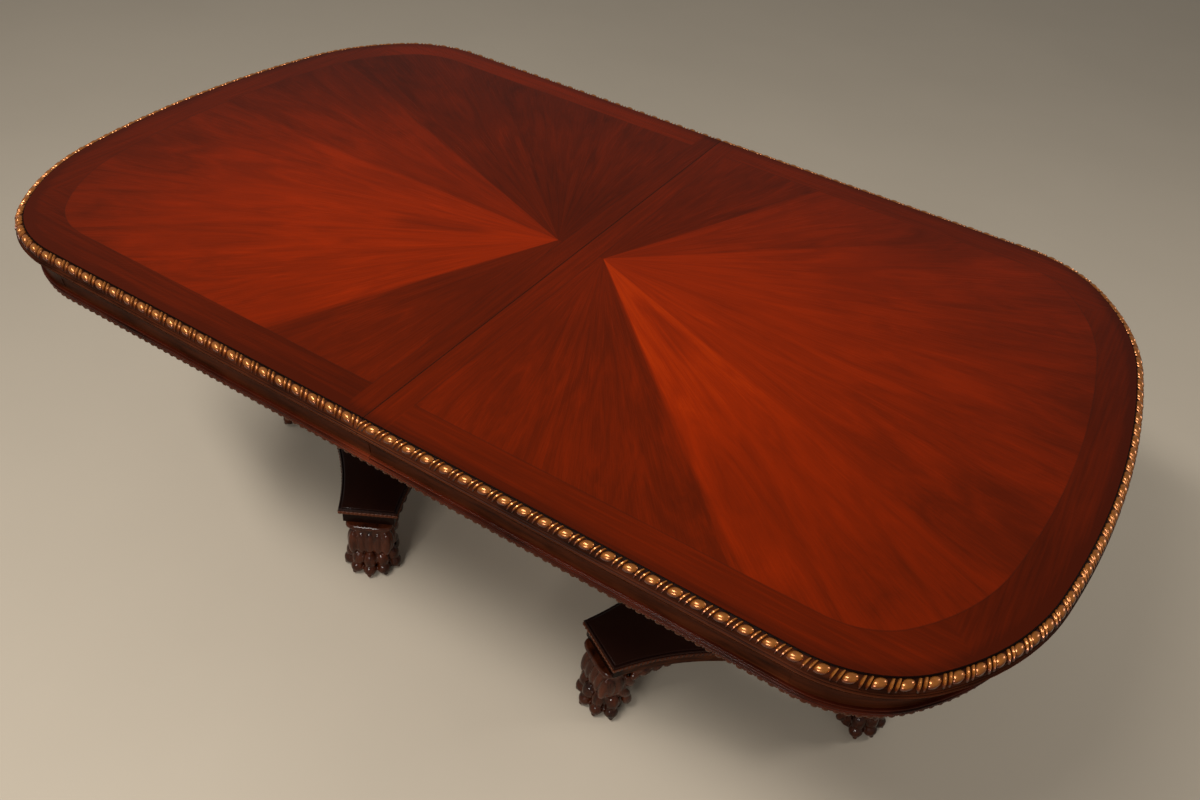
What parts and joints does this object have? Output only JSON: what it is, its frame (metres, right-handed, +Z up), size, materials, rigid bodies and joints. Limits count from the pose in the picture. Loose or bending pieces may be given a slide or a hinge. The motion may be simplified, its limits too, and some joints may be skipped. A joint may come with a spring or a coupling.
{
  "type": "double pedestal dining table",
  "caption": "Extending dining table with a bowed, rounded-corner veneered top, gadrooned edge and coved apron on turned pedestals with concave three-armed platforms and paw feet.",
  "frame": {"origin": "on the floor, under the middle of the top", "axes": "+Z up, +X along the length of the table across the seam, +Y towards the side away from the picture's viewer"},
  "size_m": [1.8118, 1.11, 0.762],
  "materials": {
    "figured_veneer": "high-gloss lacquer over figured veneer",
    "gilded_carving": "glossy carved mahogany with golden highlights",
    "brown_mahogany": "glossy dark brown lacquer",
    "red_mahogany": "glossy red-brown lacquer",
    "dark_mahogany": "glossy near-black mahogany",
    "plain_hardwood": "planed, unfinished",
    "lock_brass": "satin",
    "plain_steel": "zinc plated"
  },
  "bodies": {
    "left_half": {"far_runner_left": "plain_hardwood", "left_bearers": "plain_hardwood", "left_column": "dark_mahogany", "left_corner_blocks": "plain_hardwood", "left_edge_moulding": "gilded_carving", "left_end_rail": "brown_mahogany", "left_far_bracket": "dark_mahogany", "left_far_paw": "dark_mahogany", "left_far_rail": "brown_mahogany", "left_glides": "plain_steel", "left_lower_moulding": "red_mahogany", "left_near_bracket": "dark_mahogany", "left_near_paw": "dark_mahogany", "left_near_rail": "brown_mahogany", "left_outer_bracket": "dark_mahogany", "left_outer_paw": "dark_mahogany", "left_platform_body": "dark_mahogany", "left_platform_slab": "dark_mahogany", "left_tie_rod": "plain_steel", "left_top_block": "dark_mahogany", "left_top_panel": "figured_veneer", "lock_pivots": "lock_brass", "lock_plates": "lock_brass", "near_runner_left": "plain_hardwood"},
    "right_half": {"far_runner_right": "plain_hardwood", "lock_keepers": "lock_brass", "near_runner_right": "plain_hardwood", "right_bearers": "plain_hardwood", "right_column": "dark_mahogany", "right_corner_blocks": "plain_hardwood", "right_edge_moulding": "gilded_carving", "right_end_rail": "brown_mahogany", "right_far_bracket": "dark_mahogany", "right_far_paw": "dark_mahogany", "right_far_rail": "brown_mahogany", "right_glides": "plain_steel", "right_lower_moulding": "red_mahogany", "right_near_bracket": "dark_mahogany", "right_near_paw": "dark_mahogany", "right_near_rail": "brown_mahogany", "right_outer_bracket": "dark_mahogany", "right_outer_paw": "dark_mahogany", "right_platform_body": "dark_mahogany", "right_platform_slab": "dark_mahogany", "right_tie_rod": "plain_steel", "right_top_block": "dark_mahogany", "right_top_panel": "figured_veneer", "seam_pins": "plain_hardwood"},
    "middle_runners": {"far_runner_middle": "plain_hardwood", "near_runner_middle": "plain_hardwood"},
    "near_lock": {"near_lock_lever": "lock_brass"},
    "far_lock": {"far_lock_lever": "lock_brass"}
  },
  "joints": [
    {"name": "extension_slide", "type": "slide", "parent": "left_half", "child": "right_half", "axis": [1, 0, 0], "range_m": [0, 0.9]},
    {"name": "middle_runner_slide", "type": "slide", "parent": "left_half", "child": "middle_runners", "axis": [1, 0, 0], "range_m": [0, 0.45]},
    {"name": "near_lock_turn", "type": "hinge", "parent": "left_half", "child": "near_lock", "pos_m": [-0.026, -0.35, 0.733], "axis": [0, 0, 1], "range_deg": [0, 100]},
    {"name": "far_lock_turn", "type": "hinge", "parent": "left_half", "child": "far_lock", "pos_m": [-0.026, 0.35, 0.733], "axis": [0, 0, 1], "range_deg": [0, 100]}
  ],
  "couplings": [
    {"joint": "middle_runner_slide", "follows": "extension_slide", "ratio": 0.5}
  ]
}
